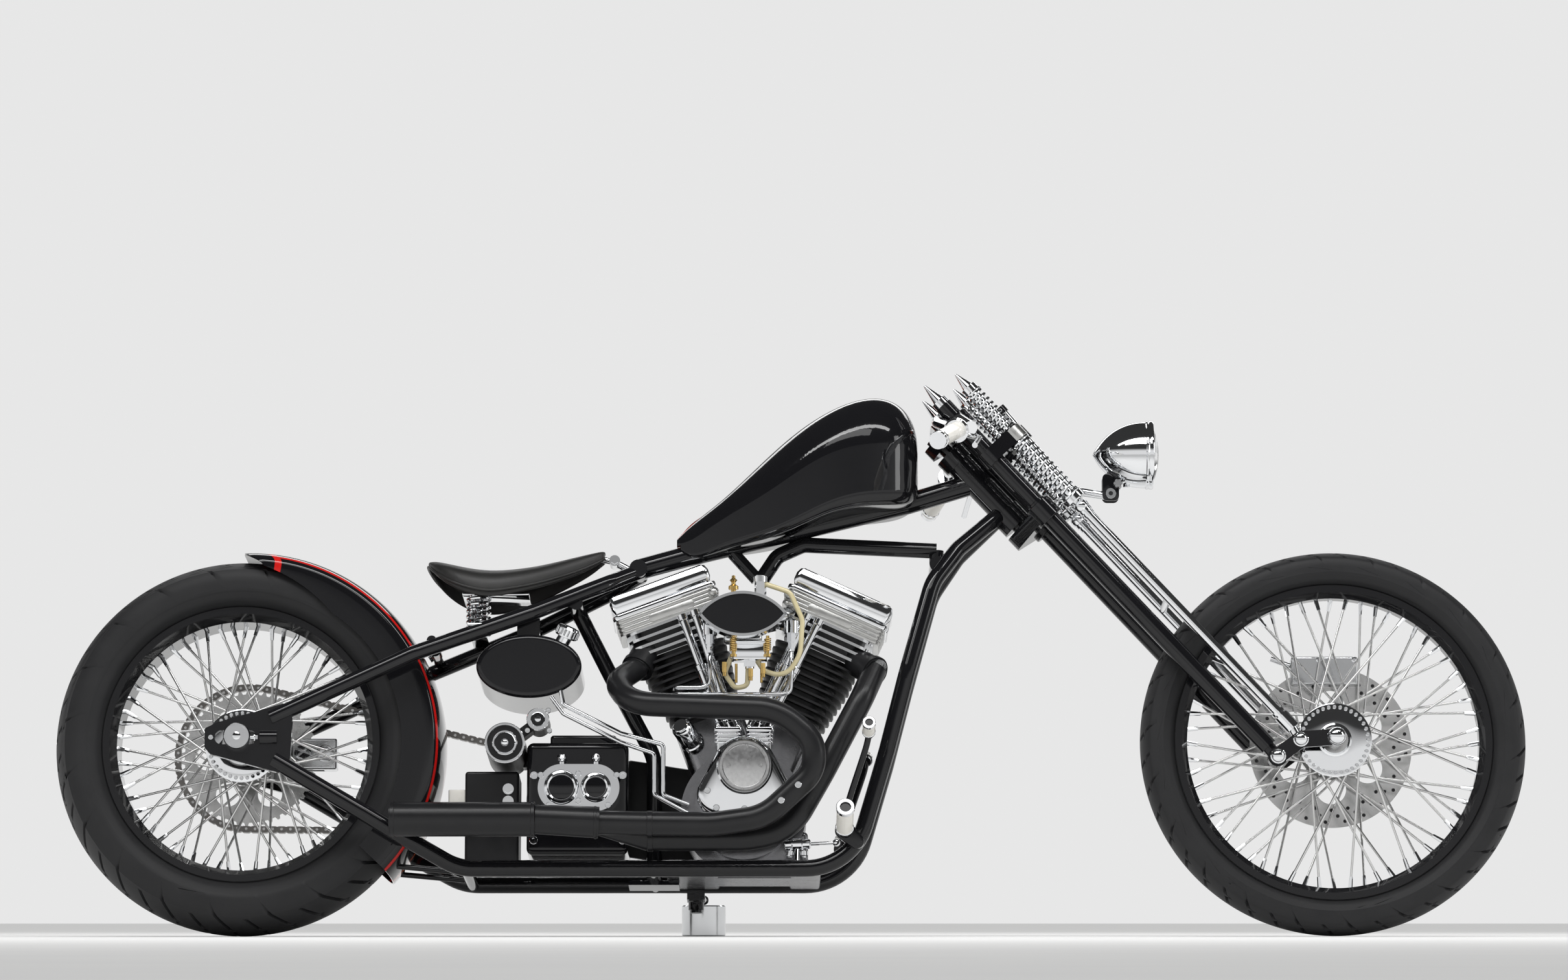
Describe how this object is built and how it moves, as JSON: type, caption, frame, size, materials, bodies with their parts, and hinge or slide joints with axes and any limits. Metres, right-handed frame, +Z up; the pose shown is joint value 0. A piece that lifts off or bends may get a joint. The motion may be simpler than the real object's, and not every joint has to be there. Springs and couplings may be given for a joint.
{
  "type": "chopper motorcycle",
  "caption": "Long low chopper motorcycle with a sprung leading-link fork, laced wheels, V-twin engine, slim raised fuel tank and solo saddle, parked on its side stand on a metal block.",
  "frame": {"origin": "middle of the bounding box, on the floor", "axes": "+X forward along the motorcycle, +Y to the rider's left, +Z up; the motorcycle leans to its left on its stand"},
  "size_m": [2.6358, 0.7568, 1.0118],
  "materials": {
    "cast": "satin",
    "chain": "oiled",
    "chrome": "polished",
    "fins": "satin",
    "glass": "clear",
    "gloss_black": "gloss",
    "hose": "gloss",
    "ivory": "gloss",
    "leather": "satin",
    "plastic": "matte",
    "polished": "polished",
    "satin_black": "satin",
    "steel": "brushed",
    "tyre": "matte"
  },
  "bodies": {
    "frame": {"air_cleaner": "chrome", "battery_box": "plastic", "breather_lines": "chrome", "carburettor": "cast", "crankcase": "cast", "cylinder_heads": "polished", "cylinders": "fins", "drive_chain": "chain", "exhaust_front_pipe": "satin_black", "exhaust_rear_pipe": "satin_black", "foot_controls": "gloss_black", "footpegs": "ivory", "frame_backbone": "gloss_black", "frame_cradle_left": "gloss_black", "frame_cradle_right": "gloss_black", "frame_rear": "gloss_black", "fuel_hoses": "hose", "fuel_tank": "gloss_black", "gearbox": "gloss_black", "gearbox_cover": "chrome", "muffler": "satin_black", "oil_lines": "chrome", "oil_tank": "gloss_black", "primary_cover": "polished", "pushrod_tubes": "chrome", "rear_axle": "steel", "rear_caliper": "plastic", "rear_fender": "gloss_black", "rocker_boxes": "chrome", "seat": "leather", "seat_springs": "chrome", "stand_block": "polished", "starter_motor": "plastic", "timing_cover": "polished"},
    "fork": {"fork_legs": "gloss_black", "fork_yokes": "polished", "fork_rods": "chrome", "fork_springs": "chrome", "fork_spikes": "chrome", "fork_bridge": "chrome", "fork_rockers": "gloss_black", "front_axle": "steel", "front_caliper": "plastic", "handlebar": "chrome", "grips": "ivory", "hand_controls": "chrome", "headlamp_shell": "chrome", "headlamp_lens": "glass"},
    "front_wheel": {"front_tyre": "tyre", "front_rim": "gloss_black", "front_hub_spokes": "steel", "front_brake_disc": "steel"},
    "rear_wheel": {"rear_tyre": "tyre", "rear_rim": "gloss_black", "rear_hub_spokes": "steel", "rear_sprocket": "steel"},
    "side_stand": {"side_stand": "gloss_black"}
  },
  "joints": [
    {"name": "steering", "type": "hinge", "parent": "frame", "child": "fork", "pos_m": [0.3445, -0.00323, 0.80799], "axis": [-0.682, 0.0828, 0.7267], "range_deg": [-30, 30]},
    {"name": "front_wheel_spin", "type": "hinge", "parent": "fork", "child": "front_wheel", "pos_m": [0.972, -0.05599, 0.34498], "axis": [0, 0.9936, -0.1132], "continuous": true},
    {"name": "rear_wheel_spin", "type": "hinge", "parent": "frame", "child": "rear_wheel", "pos_m": [-0.982, -0.05712, 0.33505], "axis": [0, 0.9936, -0.1132], "continuous": true},
    {"name": "stand_fold", "type": "hinge", "parent": "frame", "child": "side_stand", "pos_m": [-0.172, 0.06186, 0.05427], "axis": [0, 0.1132, 0.9936], "range_deg": [0, 80]}
  ]
}
